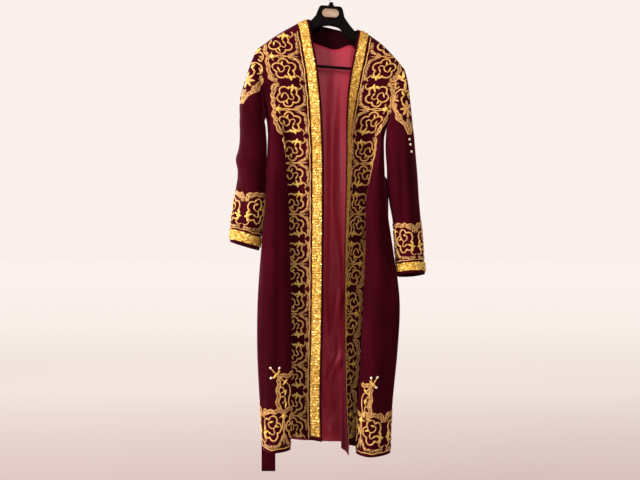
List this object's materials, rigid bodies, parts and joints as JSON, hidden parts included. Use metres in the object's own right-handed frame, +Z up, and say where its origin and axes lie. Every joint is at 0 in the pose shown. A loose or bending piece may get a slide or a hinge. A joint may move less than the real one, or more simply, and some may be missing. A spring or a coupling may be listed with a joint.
{
  "type": "velvet robe on a hanger",
  "caption": "Open-front full-length velvet robe with gold scroll embroidery and sequin braid, satin lining and a belt, hanging on a black suit hanger.",
  "frame": {"origin": "inside the crown of the hook, where the rail carries it", "axes": "+X to the wearer's left, -Y out of the open front, +Z up"},
  "size_m": [0.6248, 0.1442, 1.5697],
  "materials": {
    "velvet": "deep burgundy cotton velvet with a soft directional nap",
    "velvet_facing": "dark burgundy velvet facing",
    "satin_lining": "crimson satin lining, soft sheen",
    "gold_braid": "woven gold braid covered with small sequins",
    "black_plastic": "moulded black plastic, satin gloss",
    "tan_plate": "bare tan oval plate",
    "steel_hook": "polished steel wire"
  },
  "bodies": {
    "root": {"front_right": "velvet", "front_left": "velvet", "back": "velvet", "sleeve_right": "velvet", "sleeve_left": "velvet", "belt": "velvet", "belt_loop_right": "velvet", "belt_loop_left": "velvet", "neck_facing": "velvet_facing", "lining_back": "satin_lining", "braid_front_right": "gold_braid", "braid_front_left": "gold_braid", "braid_neck": "gold_braid", "braid_cuff_right": "gold_braid", "braid_cuff_left": "gold_braid", "hanger_body": "black_plastic", "hanger_bar": "black_plastic", "hanger_rim": "black_plastic", "hanger_collar": "black_plastic", "hanger_plate": "tan_plate", "hanger_hook": "steel_hook"}
  },
  "joints": []
}
